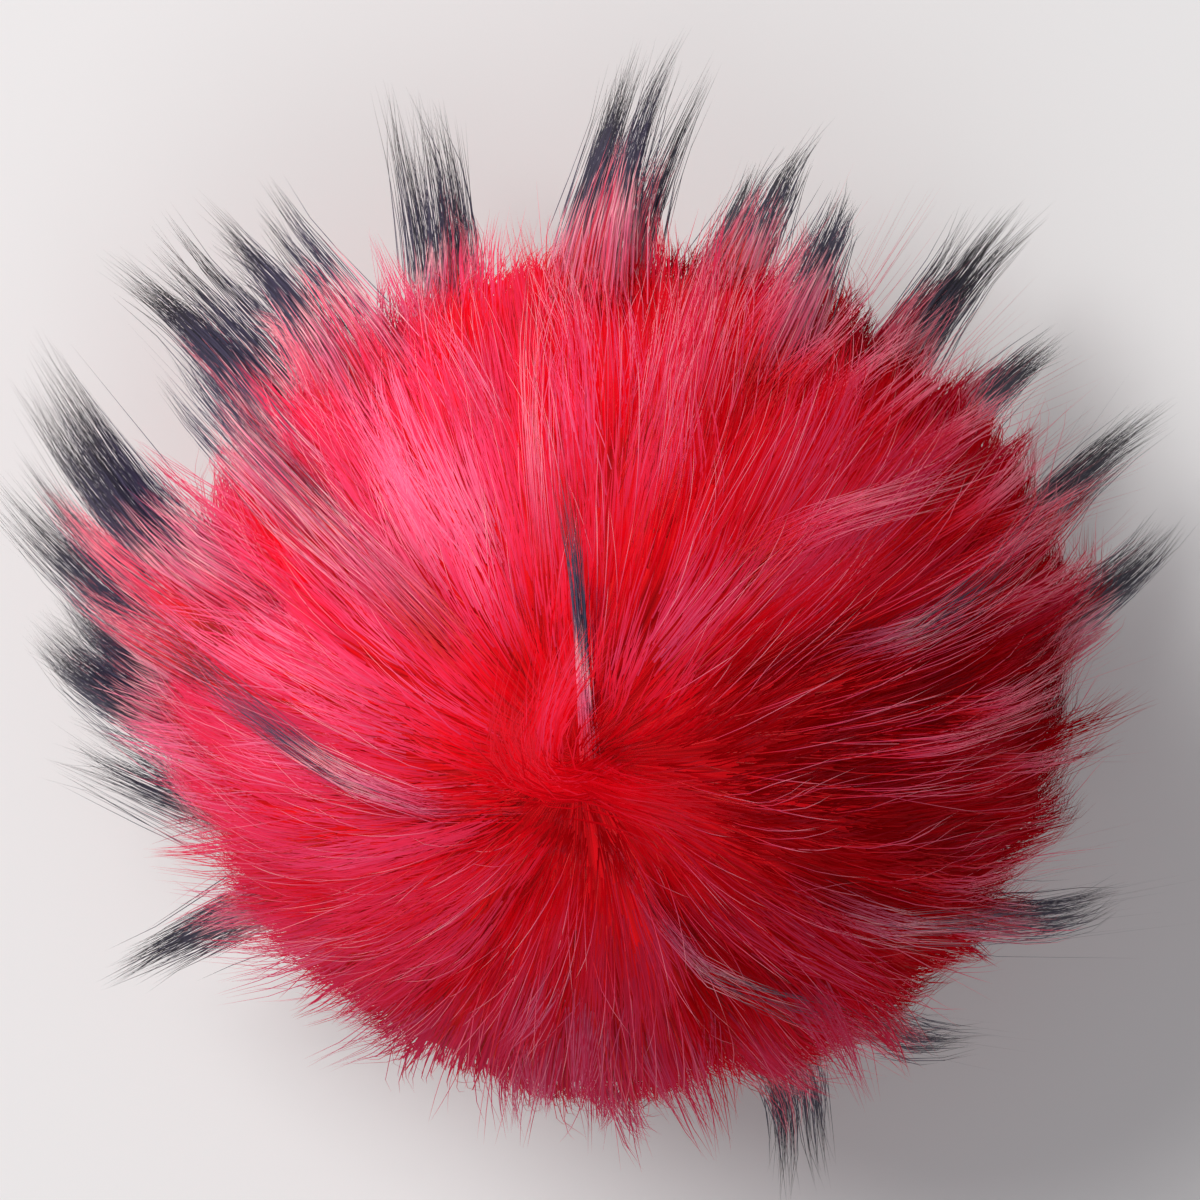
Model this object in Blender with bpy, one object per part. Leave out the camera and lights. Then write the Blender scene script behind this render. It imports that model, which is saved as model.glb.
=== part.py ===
"""A long-haired fur pom pom that lies on a level surface. Metres, +Z up.

The origin is the middle of the small flat spot that the ball rests on, on the surface itself.
The ball is one solid: the dense roots of the fur make its core, and locks of hair stand on the core, each apart
from its neighbours. They are combed away from a parting near the top, the longest end in dark guard hair, and
those near the surface are short and settle level on it.
"""

import math
import random

import bmesh
import bpy
import numpy as np
from mathutils import Vector

MM = 0.001

# The ball of dense fur, without its longest tufts
BALL_WIDTH = 0.120
BALL_DEPTH = 0.113
BALL_TOP = 0.090
CENTRE_HEIGHT = 0.042
FOOT_SINK = 0.003
FOOT_CUT = 0.0016

# Swells and hollows of the fur's surface, seen from above: place, spread and rise in millimetres
SWELLS = (
    # x, y, spread, rise
    (14, 15, 14, 3.0),
    (41, 21, 14, 3.0),
    (20, -4, 9, -4.0),
    (-6, -24, 8, -4.0),
    (-30, -14, 16, 2.5),
    (17, -30, 14, 2.5),
    (-26, 24, 15, 2.0),
)

# The core, as a share of the way from the ball's middle to its surface
CORE_SHARE = 0.80
FOOT_SHARE = 1.00
FOOT_STARTS = 0.75
FOOT_FULL = 0.98

# The parting, seen from above, and the combing away from it
PARTING_X = -0.006
PARTING_Y = -0.010
COMB_ANGLE = math.radians(44)
COMB_FADE = 3
COMB_EASE = 1.2

# The locks, on a grid of cells wrapped round the ball
CELLS = 7
GRID_TURN = math.radians(19)
JITTER = 0.16
UNEVEN = 0.05
LEAST_LOCK = 0.04
FLOOR_SOFTNESS = 0.004
SEED = 7

# Each ring of a lock: how far out it is from the core to the lock's end, and its width as a share of its cell
LOCK_RINGS = ((0.0, 0.88), (0.5, 0.72), (1.0, 0.30))

# A tuft goes on past the surface: each ring's place along it, and its half width in millimetres
TUFT_SHARE = 1.06
TUFT_RINGS = ((0.28, 3.3), (0.62, 2.9), (1.00, 0.6))
TUFT_CURVE = 0.40
DARK_RINGS = 2

# The longest tufts of guard hair. Bearings are in degrees about the ball's middle, from +X towards +Y. Heights
# above the surface and the tip's reach from the middle are in millimetres.
TUFTS = (
    # foot bearing, foot height, tip bearing, tip reach, tip height
    (165, 46, 153, 88, 36),
    (172, 38, 162, 87, 28),
    (183, 32, 173, 81, 24),
    (146, 64, 144, 73, 50),
    (138, 44, 140, 87, 32),
    (127, 48, 132, 83, 35),
    (111, 26, 109, 87, 16),
    (92, 40, 86, 84, 28),
    (75, 30, 72, 75, 20),
    (66, 52, 65, 70, 40),
    (51, 24, 50, 86, 14),
    (40, 22, 38, 80, 12),
    (22, 20, 26, 85, 10),
    (8, 28, 14, 78, 17),
    (-33, 42, -23, 74, 31),
    (-54, 40, -45, 69, 28),
    (-65, 24, -71, 77, 12),
    (212, 24, 211, 85, 11),
    (197, 22, 186, 79, 9),
    (4, 80, 23, 67, 54),
    (34, 76, 29, 63, 52),
    (196, 73, 169, 79, 42),
    (251, 88, 108, 26, 101),
)

CORAL = (0.69, 0.012, 0.035, 1.0)
SLATE = (0.035, 0.028, 0.055, 1.0)


def clear_scene():
    for item in list(bpy.data.objects):
        bpy.data.objects.remove(item)


def fur_material(name, colour, roughness):
    material = bpy.data.materials.new(name)
    material.use_nodes = True
    shader = material.node_tree.nodes["Principled BSDF"]
    shader.inputs["Base Color"].default_value = colour
    shader.inputs["Roughness"].default_value = roughness
    shader.inputs["Metallic"].default_value = 0.0
    return material


def from_above(x, y):
    """The direction from the ball's middle to the top surface at a place seen from above, on a round ball."""
    side = np.array([x / (BALL_WIDTH / 2), y / (BALL_DEPTH / 2)])
    return np.append(side, math.sqrt(1 - side @ side))


def unit(rows):
    return rows / np.linalg.norm(rows, axis=-1, keepdims=True)


def smooth_step(values, low, high):
    part = np.clip((values - low) / (high - low), 0, 1)
    return part * part * (3 - 2 * part)


def combed(roots, share):
    """Root directions turned away from the parting, the more the farther out the hair is."""
    parting = from_above(PARTING_X, PARTING_Y)
    cosine = np.clip(roots @ parting, -1, 1)[:, None]
    away = unit(roots - cosine * parting + 1e-9)
    angle = np.arccos(cosine)
    ease = np.clip((share - CORE_SHARE) / (1 - CORE_SHARE), 0, None) ** COMB_EASE
    angle = angle + COMB_ANGLE * ease * np.sin(angle) * ((1 + cosine) / 2) ** COMB_FADE
    return np.cos(angle) * parting + np.sin(angle) * away


def swell(directions):
    """How far the surface stands out or in, as a share of its distance from the middle."""
    mean = (BALL_WIDTH + BALL_DEPTH) / 4
    total = np.zeros(len(directions))
    for x, y, spread, rise in SWELLS:
        apart = np.linalg.norm(directions - from_above(x * MM, y * MM), axis=1)
        total += rise * MM / mean * np.exp(-((apart * mean / (spread * MM)) ** 2) / 2)
    return total[:, None]


def settled(points):
    """Points that would sink into the surface are pressed up to lie just over it."""
    low = np.minimum(points[:, 2], FLOOR_SOFTNESS)
    pressed = FLOOR_SOFTNESS * np.exp(low / FLOOR_SOFTNESS - 1)
    points[:, 2] = np.where(points[:, 2] < FLOOR_SOFTNESS, pressed, points[:, 2])
    return points


def unpressed(roots, share):
    """Where the hair from each root direction is at a share of the ball's radius, were there no surface."""
    directions = combed(roots, share)
    below = CENTRE_HEIGHT + FOOT_SINK
    upright = np.where(directions[:, 2] > 0, BALL_TOP - CENTRE_HEIGHT, below)
    radii = np.column_stack([np.full(len(roots), BALL_WIDTH / 2), np.full(len(roots), BALL_DEPTH / 2), upright])
    return directions * radii * (1 + swell(directions)) * share + (0, 0, CENTRE_HEIGHT)


def fur_points(roots, share):
    return settled(unpressed(roots, share))


def core_share(directions):
    """The core's share of the radius: all of it under the ball, where its weight presses the fur flat."""
    return CORE_SHARE + (FOOT_SHARE - CORE_SHARE) * smooth_step(-directions[:, 2], FOOT_STARTS, FOOT_FULL)


def wrapped_grid(mesh, rng):
    """A cube's faces cut into cells and blown up to a ball. Returns each vertex's direction from the middle."""
    bmesh.ops.create_cube(mesh, size=2)
    bmesh.ops.subdivide_edges(mesh, edges=mesh.edges[:], cuts=CELLS - 1, use_grid_fill=True)
    turn = np.array(
        [
            [math.cos(GRID_TURN), -math.sin(GRID_TURN), 0],
            [math.sin(GRID_TURN), math.cos(GRID_TURN), 0],
            [0, 0, 1],
        ]
    )
    directions = []
    for vertex in mesh.verts:
        spread = [math.tan(value * math.pi / 4) for value in vertex.co]
        loose = JITTER * 2 / CELLS if vertex.co.z > -0.9 else 0
        moved = [value + loose * rng.uniform(-0.5, 0.5) for value in spread]
        directions.append(turn @ np.array(moved))
    return unit(np.array(directions))


def tuft_feet(centres):
    """For each tuft, the cell whose hair comes through the surface nearest to the tuft's foot."""
    surface = fur_points(centres, 1.0)
    feet = {}
    for tuft in TUFTS:
        bearing, height = math.radians(tuft[0]), tuft[1] * MM
        upright = BALL_TOP - CENTRE_HEIGHT if height > CENTRE_HEIGHT else CENTRE_HEIGHT + FOOT_SINK
        inward = math.sqrt(1 - ((height - CENTRE_HEIGHT) / upright) ** 2)
        foot = (
            BALL_WIDTH / 2 * inward * math.cos(bearing),
            BALL_DEPTH / 2 * inward * math.sin(bearing),
            height,
        )
        apart = np.linalg.norm(surface - foot, axis=1)
        apart[list(feet)] = BALL_WIDTH
        feet[int(np.argmin(apart))] = tuft
    return feet


def grow(mesh, face, ring):
    """Extrude a face and put its corners at a new ring's points. Returns the new face."""
    grown = bmesh.ops.extrude_discrete_faces(mesh, faces=[face])["faces"][0]
    for vertex, point in zip(grown.verts, ring):
        vertex.co = point
    return grown


def narrowed(corners, width):
    centre = corners.mean(axis=0)
    return unit(centre + (corners - centre) * width)


def grow_lock(mesh, face, corners, end_share):
    """A tapering four-sided lock from the core out to end_share of the radius."""
    start = core_share(unit(corners.mean(axis=0, keepdims=True)))[0]
    for out, width in LOCK_RINGS:
        share = start + (end_share - start) * out
        face = grow(mesh, face, fur_points(narrowed(corners, width), share))
    return face


def grow_tuft(mesh, face, root, tuft):
    """A tuft's free end, bent from the way the hair leaves the ball to the tip's place."""
    start = face.calc_center_median()
    before = Vector(fur_points(root, 1.0)[0])
    bearing = math.radians(tuft[2])
    tip = Vector((math.cos(bearing), math.sin(bearing), 0)) * tuft[3] * MM
    tip.z = tuft[4] * MM
    bend = start + (start - before).normalized() * (tip - start).length * TUFT_CURVE
    corners = [(vertex.co - start).normalized() for vertex in face.verts]
    for number, (along, width) in enumerate(TUFT_RINGS):
        place = start * (1 - along) ** 2 + bend * 2 * along * (1 - along) + tip * along**2
        heading = (bend - start) * (1 - along) + (tip - bend) * along
        turn = face.normal.rotation_difference(heading)
        corners = [turn @ corner for corner in corners]
        ring = [place + corner * width * MM for corner in corners]
        face = grow(mesh, face, ring)
        face.normal_update()
        if number + DARK_RINGS >= len(TUFT_RINGS):
            for side in {side for edge in face.edges for side in edge.link_faces}:
                side.material_index = 1


def fur_ball():
    rng = random.Random(SEED)
    mesh = bmesh.new()
    directions = wrapped_grid(mesh, rng)
    cells = [(face, directions[[vertex.index for vertex in face.verts]]) for face in mesh.faces]
    centres = unit(np.array([corners.mean(axis=0) for _, corners in cells]))
    feet = tuft_feet(centres)
    core = unpressed(directions, core_share(directions)[:, None])
    core[core[:, 2] < FOOT_CUT, 2] = 0
    for vertex, point in zip(mesh.verts, core):
        vertex.co = point
    for number, (face, corners) in enumerate(cells):
        end_share = 1 + UNEVEN * rng.uniform(-1, 1)
        if number in feet:
            lock = grow_lock(mesh, face, corners, TUFT_SHARE)
            lock.normal_update()
            grow_tuft(mesh, lock, centres[number : number + 1], feet[number])
        elif end_share - core_share(centres[number : number + 1])[0] > LEAST_LOCK:
            grow_lock(mesh, face, corners, end_share)
    data = bpy.data.meshes.new("fur_ball")
    mesh.to_mesh(data)
    mesh.free()
    data.materials.append(fur_material("coral fur", CORAL, 0.75))
    data.materials.append(fur_material("slate guard hair", SLATE, 0.60))
    data.shade_smooth()
    data.set_sharp_from_angle(angle=math.radians(60))
    ball = bpy.data.objects.new("fur_ball", data)
    bpy.context.scene.collection.objects.link(ball)
    return ball


clear_scene()
fur_ball()
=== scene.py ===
import math

import bpy
import numpy as np
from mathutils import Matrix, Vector


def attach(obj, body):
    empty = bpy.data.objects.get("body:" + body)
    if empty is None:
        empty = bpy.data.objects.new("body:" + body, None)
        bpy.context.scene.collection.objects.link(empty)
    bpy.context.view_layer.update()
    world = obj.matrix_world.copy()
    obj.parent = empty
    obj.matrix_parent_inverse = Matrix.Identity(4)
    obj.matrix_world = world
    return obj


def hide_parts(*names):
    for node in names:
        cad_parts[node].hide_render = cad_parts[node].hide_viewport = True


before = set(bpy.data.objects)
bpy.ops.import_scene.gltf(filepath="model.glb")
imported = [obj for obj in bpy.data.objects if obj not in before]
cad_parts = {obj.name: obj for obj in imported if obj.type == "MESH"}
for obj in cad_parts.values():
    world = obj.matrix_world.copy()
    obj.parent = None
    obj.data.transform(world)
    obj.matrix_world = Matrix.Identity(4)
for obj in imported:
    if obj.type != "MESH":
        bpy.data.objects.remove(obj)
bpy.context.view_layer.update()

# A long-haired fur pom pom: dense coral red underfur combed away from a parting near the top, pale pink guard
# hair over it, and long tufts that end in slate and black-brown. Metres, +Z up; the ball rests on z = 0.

MM = 0.001

# Each piece's own start for its random draws
SEEDS = {
    "locks": 10,
    "underfur": 11,
    "guard hair": 12,
    "tufts": 13,
    "pointed locks": 14,
    "bundles": 15,
    "dark_tipped_tufts": 16,
    "dark_tipped_bundles": 17,
    "pale_bundles": 18,
    "curls": 19,
    "parting_curls": 20,
}

# The ball of dense fur, as the solid has it
BALL_WIDTH = 0.120
BALL_DEPTH = 0.113
BALL_TOP = 0.090
CENTRE_HEIGHT = 0.042
FOOT_SINK = 0.003
FOOT_CUT = 0.0016
PARTING_X = -0.006
PARTING_Y = -0.010
FLOOR_SOFTNESS = 0.004
SWELLS = (
    # x, y, spread, rise, in millimetres and seen from above
    (14, 15, 14, 3.0),
    (41, 21, 14, 3.0),
    (20, -4, 9, -4.0),
    (-6, -24, 8, -4.0),
    (-30, -14, 16, 2.5),
    (17, -30, 14, 2.5),
    (-26, 24, 15, 2.0),
)

# How the hair lies: it leaves the skin at a share of the radius and is swept away from the parting
SKIN_SHARE = 0.60
COMB_ANGLE = math.radians(60)
COMB_SPREAD = 0.6
COMB_FADE = 2.8
COMB_CURVE = 1.1
RISE_CURVE = 2.2
WHORL_REACH = 0.40
WHORL_RISE = 4.0
DRIFT = 0.14
# Hair leans a little its own way in each region, by three waves crossed over the ball
WANDER = 0.05
WANDER_WAVES = (
    # turn, shift
    (5.0, 0.3),
    (8.0, 2.1),
    (13.0, 4.4),
)
WANDER_AXIS_SHIFTS = np.array([0.0, 1.7, 3.9])

# How far a strand's shading is that of the ball under it, rather than its own
SOFT_SHADING = 0.9
PALE_SOFT_SHADING = 0.3
# The width on the map of each side of a strand
SIDE_STRIP = 0.003

# Soft ridges that run away from the parting: how many go round the ball, and their height in millimetres
RIDGES = (
    # count, height
    (5, 0.5),
    (8, 0.6),
    (13, 0.7),
    (21, 0.5),
    (34, 0.3),
)
RIDGE_TWIST = 1.6
# They rise and die away between these angles from the parting, in radians
RIDGES_RISE = (0.05, 0.55)
RIDGES_DIE = (2.0, 2.6)

# The dye by place, as a tone from 0, crimson, to 1, pink, with painted light and shade added to it. The lower
# rim is this far in front of the ball's middle, and over this height, in metres
MIDDLE_TONE = 0.34
# Painted light: the tone falls by this much for each metre to the right, pinker on the lit left and deeper on
# the shaded right
PAINTED_LIGHT_TO_THE_RIGHT = -3.8
# Painted shade: the lower rim, in cool shade, is painted this much pinker and more magenta
LOWER_RIM_COOL_SHADE = 0.22
LOWER_RIM = (0.034, 0.062)
LOWER_RIM_LOWEST = 0.01
# Painted highlight and shade: crests and swells are painted pinker and hollows deeper, by this tone for each
# millimetre of height, the swells at SWELL_SHARE of theirs
CREST_LIGHT_AND_SHADE = 0.07
SWELL_SHARE = 0.9
PARTING_TONE = -0.14
PARTING_REACH = 0.3
STREAK_TONE = 0.028
STREAK_TWIST = 2.0
STREAKS = (34, 55, 89, 144, 233)
LEAST_TONE = 0.02
MOST_TONE = 0.97

# Painted highlights, where the dye is pinker, above 0, and painted shade in the valleys, where it is deeper,
# below it, in soft spots drawn out along the hair
LIGHT_AND_SHADE_PATCHES = (
    # x, y, spread, tone, in millimetres and seen from above
    (31, 12, 6, -0.30),
    (43, -1, 8, -0.35),
    (29, -18, 8, -0.25),
    (-4, -21, 5, -0.30),
    (-21, -12, 9, -0.28),
    (-17, 2, 4, -0.25),
    (15, 27, 5, -0.15),
    (-32, 10, 4, -0.20),
    (14, 15, 5, 0.22),
    (29, 21, 5, 0.25),
    (12, 2, 4, 0.20),
    (5, -19, 6, 0.22),
    (-46, 6, 10, 0.22),
    (-28, 30, 9, 0.28),
    (3, 38, 5, 0.20),
)
PATCH_STRETCH = 2.2

# The close wool, as a share of the radius, how much lower it is at the parting, and the grid it is made on
WOOL_SHARE = 0.94
WOOL_HOLLOW = 0.03
WOOL_RINGS = 60
WOOL_SIDES = 120

# The underfur: big locks, the wisps in them, and the fine strands. Each is set out evenly over the ball, then
# scattered, and leans its own way, by about so many radians. None ends lower than a height, which here and
# below is on a round ball of radius 1
LOCKS = 260
LOCK_SCATTER = 0.05
LOCK_LEAN = 0.02
LOCK_TONE = 0.03
WISPS = 3600
WISP_SCATTER = 0.02
WISP_LEAN = 0.016
WISP_RISE = 0.003
WISP_TONE = 3.0
STRANDS = 31000
STRAND_PARTS = 4
STRAND_SCATTER = 0.006
STRAND_LEAN = 0.010
STRAND_TONE = 0.02
STRAND_LOWEST = -0.93
# Where strands end, as a share of the radius, and how unevenly. A few stray farther out and more aside
STRAND_END = 0.985
STRAND_UNEVEN = 0.004
STRAY_RARITY = 6
STRAY_RISE = 0.04
STRAY_LEAN = 2
# A strand's width, and the shares of it that strands have. Its rings are at these shares of its length, and
# its profile is its width at each of them
STRAND_WIDTH = 0.19 * MM
STRAND_WIDTHS = (0.7, 1.25)
STRAND_STEPS = np.array([0.58, 0.66, 0.84, 1.0])
STRAND_PROFILE = np.array([1.0, 1.0, 0.75, 0.0])
STRAND_FLATNESS = 0.35
WISP_GATHER = 0.22
LOCK_GATHER = 0.14

# Pointed locks that stand out of the fur, but not low down, nor near the parting, where the cosine of the
# angle from it is over NEAREST
POINTED_LOCKS = 300
POINTED_SCATTER = 0.12
POINTED_LOWEST = -0.75
POINTED_NEAREST = 0.75
POINTED_LEAN = 0.06
POINTED_PINKER = (0.05, 0.35)
HAIRS_IN_LOCK = (14, 34)
POINTED_HAIR_SCATTER = 0.05
POINTED_HAIR_LEAN = 0.010
POINTED_HAIR_TONE = 0.06
POINTED_END = 0.995
POINTED_UNEVEN = 0.006
POINTED_WIDTHS = (0.6, 1.0)
POINTED_PROFILE = np.array([1.0, 1.0, 0.7, 0.0])
POINTED_FLATNESS = 0.4
POINTED_GATHER = 0.85
LEAST_LIFT = 0.03
MORE_LIFT = 0.19
LIFT_POWER = 1.3
HAIR_LIFTS = (0.45, 1.0)

# The single guard hairs, with the same two limits. They lean and lift more between the two upper heights
GUARD_HAIRS = 2600
GUARD_SCATTER = 0.05
GUARD_LOWEST = -0.35
GUARD_NEAREST = 0.93
GUARD_UPPER = (-0.2, 0.4)
GUARD_LEAN = 0.04
GUARD_ENDS = (0.99, 1.02)
GUARD_RISE = 3.6
GUARD_TONES = (0.1, 0.8)
# Painted light: a guard hair's tone falls by this much for each metre to the right, so it is paler on the lit
# left
GUARD_PAINTED_LIGHT_TO_THE_RIGHT = -1.5
GUARD_WIDTH = 0.12 * MM
GUARD_WIDTHS = (0.7, 1.3)
GUARD_STEPS = np.array([0.35, 0.55, 0.72, 0.86, 0.96, 1.06])
GUARD_PROFILE = np.array([1.0, 1.0, 0.9, 0.75, 0.5, 0.0])
GUARD_GATHER = 0.3
GUARD_LIFT = 0.14
GUARD_LOW_LIFT = 0.4
GUARD_FLATNESS = 0.6

# The long tufts at the rim, as the solid has them. Bearings are in degrees from +X towards +Y, lengths in
# millimetres
TUFTS = (
    # foot bearing, foot height, tip bearing, tip reach, tip height, fullness
    (165, 46, 153, 88, 36, 2.0),
    (172, 38, 162, 87, 28, 1.6),
    (183, 32, 173, 81, 24, 2.4),
    (146, 64, 144, 73, 50, 0.5),
    (138, 44, 140, 87, 32, 1.2),
    (127, 48, 132, 83, 35, 1.0),
    (111, 26, 109, 87, 16, 0.8),
    (92, 40, 86, 84, 28, 1.7),
    (75, 30, 72, 75, 20, 1.0),
    (66, 52, 65, 70, 40, 0.6),
    (51, 24, 50, 86, 14, 1.0),
    (40, 22, 38, 80, 12, 0.8),
    (22, 20, 26, 85, 10, 0.8),
    (8, 28, 14, 78, 17, 0.8),
    (-33, 42, -23, 74, 31, 0.4),
    (-54, 40, -45, 69, 28, 0.3),
    (-65, 24, -71, 77, 12, 0.5),
    (212, 24, 211, 85, 11, 0.6),
    (197, 22, 186, 79, 9, 0.6),
)
# A tuft of fullness 1. One wisp in so many is short and stays pale
HAIRS_IN_TUFT = 450
WISPS_IN_TUFT = 9
PALE_WISP_EVERY = 3
# Where a tuft's skin and foot are: the share of the radius, and the angle back towards the parting. A short
# wisp's foot is drawn back towards the skin by this share
TUFT_SKIN = 0.88
TUFT_FOOT = 1.06
SKIN_BACK = 0.50
FOOT_BACK = 0.10
SHORT_WISP_BACK = 0.3
# How far its bend is above the straight line, and how far a wisp's bend sways, in millimetres
TUFT_ARCH = 3.0
TUFT_SWAY = 1.3
# How far a tuft's wisps part, and each wisp's hairs, at its skin, foot, bend and tip, in millimetres
WISPS_PART = (2.6, 2.2, 2.2, 3.0)
HAIRS_PART = (1.8, 1.3, 0.95, 0.65)
# The share of a tuft's length where it turns dark, and how much later for each millimetre that its foot is
# over a height
DARK_FROM = 0.38
DARK_LATER = 0.006
HIGH_FOOT = 44
# How long its pale and its dark wisps are, as a share of its length
PALE_LENGTH = (0.25, 0.60)
DARK_LENGTH = (0.74, 1.02)

# Bundles of guard hair over the ball, seen from above in millimetres. The first three places are on the fur
# and the tip is at its own height. Dark is the share of the length where the hair turns dark, and 0 for hair
# that stays pale
BUNDLES = (
    # x and y of start, second and third place, x, y and z of tip, hairs, spread, dark
    (-18, 0, -27, 12, -37, 22, -56, 42, 66, 66, 1.7, 0.80),
    (-20, 2, -29, 10, -38, 18, -54, 34, 66, 30, 1.6, 0.84),
    (-15, -16, -27, -13, -43, -4, -73, 17, 54, 70, 1.2, 0.60),
    (-10, 4, -10, 20, -11, 34, -11, 53, 66, 26, 1.0, 0),
    (-5, 30, -5, 40, -7, 48, -8, 59, 52, 30, 2.2, 0),
    (1, 26, 4, 34, 6, 42, 12, 60, 54, 50, 2.4, 0),
    (8, 30, 10, 38, 12, 45, 17, 60, 52, 30, 2.4, 0),
    (14, 40, 18, 46, 23, 51, 28, 61, 54, 50, 1.4, 0),
    (14, 13, 22, 18, 32, 21, 50, 29, 66, 60, 1.6, 0),
    (23, 1, 31, 5, 39, 9, 59, 29, 66, 60, 1.4, 0.68),
    (27, 1, 36, 6, 44, 11, 57, 24, 60, 30, 2.4, 0),
    (36, 17, 42, 21, 47, 25, 59, 34, 62, 50, 1.0, 0),
    (38, -4, 44, -3, 49, -1, 63, 4, 58, 40, 1.2, 0),
    (18, -26, 28, -28, 38, -29, 66, -29, 48, 60, 2.0, 0.70),
    (-2, -22, 6, -30, 16, -37, 48, -49, 38, 36, 1.0, 0.72),
    (31, 24, 37, 28, 42, 31, 56, 40, 56, 40, 1.2, 0),
    (42, 17, 47, 19, 51, 21, 66, 29, 54, 40, 1.4, 0),
    (44, 8, 49, 10, 53, 12, 66, 19, 52, 36, 1.3, 0),
    (30, -9, 36, -8, 42, -6, 56, -3, 68, 30, 1.2, 0),
    (44, -11, 49, -10, 53, -9, 67, -8, 48, 26, 1.0, 0),
    (34, -25, 40, -25, 46, -24, 61, -23, 48, 30, 1.2, 0),
    (22, 31, 28, 36, 33, 40, 44, 49, 54, 40, 1.2, 0),
    (18, 35, 23, 40, 28, 45, 37, 58, 54, 40, 1.3, 0),
    (27, 28, 33, 33, 38, 37, 50, 48, 52, 40, 1.3, 0),
    (38, 12, 44, 15, 49, 18, 64, 24, 56, 36, 1.3, 0),
    (-36, 24, -40, 28, -43, 31, -52, 39, 44, 30, 1.4, 0),
    (-46, 8, -49, 11, -52, 14, -62, 22, 40, 30, 1.4, 0),
)
# The bundle that stands up from the parting, in the same columns
STANDING_BUNDLE = (-4.7, -10.8, -4.8, 0.5, -5.4, 11, -7.6, 24.5, 103, 90, 0.5, 0.55)
# Curls of underfur round that bundle's root, in the same columns but for the last one, their tone
PARTING_CURLS = (
    (-2, -11, -7, -12, -10.5, -9.5, -11.5, -3, 91.0, 130, 1.4, 0.30),
    (-4, -13, -9, -12, -13, -8, -12, 0, 90.0, 110, 1.6, 0.24),
    (-10.5, -9, -9, -5, -7.5, -1, -4, 6, 91.0, 140, 1.5, 0.42),
    (-5, -13, -1.5, -13, 3, -14, 11, -16, 88.5, 110, 1.6, 0.28),
)
# Where a bundle's three places are, as shares of the radius, and how its hairs part at its control points
BUNDLE_LIFTS = (0.91, 1.02, 1.04)
BUNDLE_PARTS = (1.0, 0.6, 0.7, 1.2)

# The hairs of tufts and bundles. They stop short of the longest by up to this share, stray at the bend and at
# the tip, and differ in tone
TUFT_HAIR_WIDTH = 0.135 * MM
BUNDLE_HAIR_WIDTH = 0.09 * MM
BUNDLE_WIDTHS = (0.7, 1.4)
BUNDLE_PROFILE = np.array([1.0, 1.0, 0.9, 0.6, 0.0])
BUNDLE_FLATNESS = 0.6
LONGEST_HAIR = 1.06
SHORT_BY = 0.46
SHORT_POWER = 1.3
BEND_STRAY = 0.7
TIP_STRAY = 0.9
HAIR_TONE = 0.16
CURL_TONE_SHARE = 0.5
# The guard hair's colours are laid out for a tip that is dark from this share on. A tone of 0 or 1 moves them
# along the hair by half of the shift
DYED_DARK_FROM = 0.6
DARK_SHIFT = 0.5
PALE_SHIFT = 0.3

# The dyes
CRIMSON = (0.30, 0.0006, 0.0025)
CORAL = (0.68, 0.0022, 0.008)
ROSE = (0.70, 0.038, 0.110)
PINK = (0.78, 0.15, 0.27)
SALMON = (0.82, 0.15, 0.23)
PALE = (0.90, 0.36, 0.40)
SLATE = (0.046, 0.036, 0.078)
BLACK_BROWN = (0.010, 0.006, 0.007)

# The finish of each kind of hair: roughness and shine
UNDERFUR_FINISH = (0.55, 0.0)
GUARD_FINISH = (0.4, 0.25)
PALE_FINISH = (0.45, 0.20)
WOOL_FINISH = (0.7, 0.1)
# The underfur turns paler from this share of a strand's length on, by this much at its tip
PALER_FROM = 0.5
PALER_BY = 0.10
# The wool's streaks: how many round the ball and from the parting down, and how high they stand
WOOL_STREAKS = (240.0, 7.0, 1.0)
WOOL_BUMP = 0.0004
WOOL_BUMP_STRENGTH = 0.6

# The camera looks straight down, its axis a little past the ball's middle. The frame's width is at the height
# of the ball's middle
CAMERA_X = -0.003
CAMERA_Y = 0.010
CAMERA_HEIGHT = 0.550
FRAME_WIDTH = 0.1591
SENSOR = 36.0

# The studio: a wide pale floor, a large light high on the left, a weak one in front, and even light all round
FLOOR_HALF = 6.0
FLOOR_COLOUR = (0.80, 0.795, 0.79)
FLOOR_ROUGHNESS = 0.9
LIGHTS = (
    # name, place, size, watts, colour
    ("window", (-1.95, 1.6, 1.85), 2.0, 112.0, (1.0, 0.99, 0.98)),
    ("fill", (-0.2, -1.4, 1.8), 1.6, 9.0, (0.98, 0.98, 1.0)),
)
LIT_PLACE = (0, 0, 0.04)
EVEN_COLOUR = (0.96, 0.95, 1.0)
EVEN_STRENGTH = 0.28


# ---------------------------------------------------------------- the shape of the fur


def unit(rows):
    """Vectors divided by their length."""
    return rows / np.linalg.norm(rows, axis=-1, keepdims=True)


def smooth_step(values, low, high):
    """0 up to low, 1 from high on, and 3t^2 - 2t^3 between."""
    part = np.clip((values - low) / (high - low), 0, 1)
    return part * part * (3 - 2 * part)


def from_above(x, y):
    """On a round ball of radius 1, the point of its top half over a place seen from above."""
    side = np.array([x / (BALL_WIDTH / 2), y / (BALL_DEPTH / 2)])
    return np.append(side, math.sqrt(1 - side @ side))


PARTING = from_above(PARTING_X, PARTING_Y)
ACROSS = unit(np.cross(PARTING, (1.0, 0.0, 0.0)))
AHEAD = np.cross(ACROSS, PARTING)


def swept_angle(angle):
    """How far hair at an angle from the parting is swept: sin(angle)^spread * ((1 + cos(angle)) / 2)^fade."""
    return COMB_ANGLE * np.maximum(np.sin(angle), 0) ** COMB_SPREAD * ((1 + np.cos(angle)) / 2) ** COMB_FADE


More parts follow.
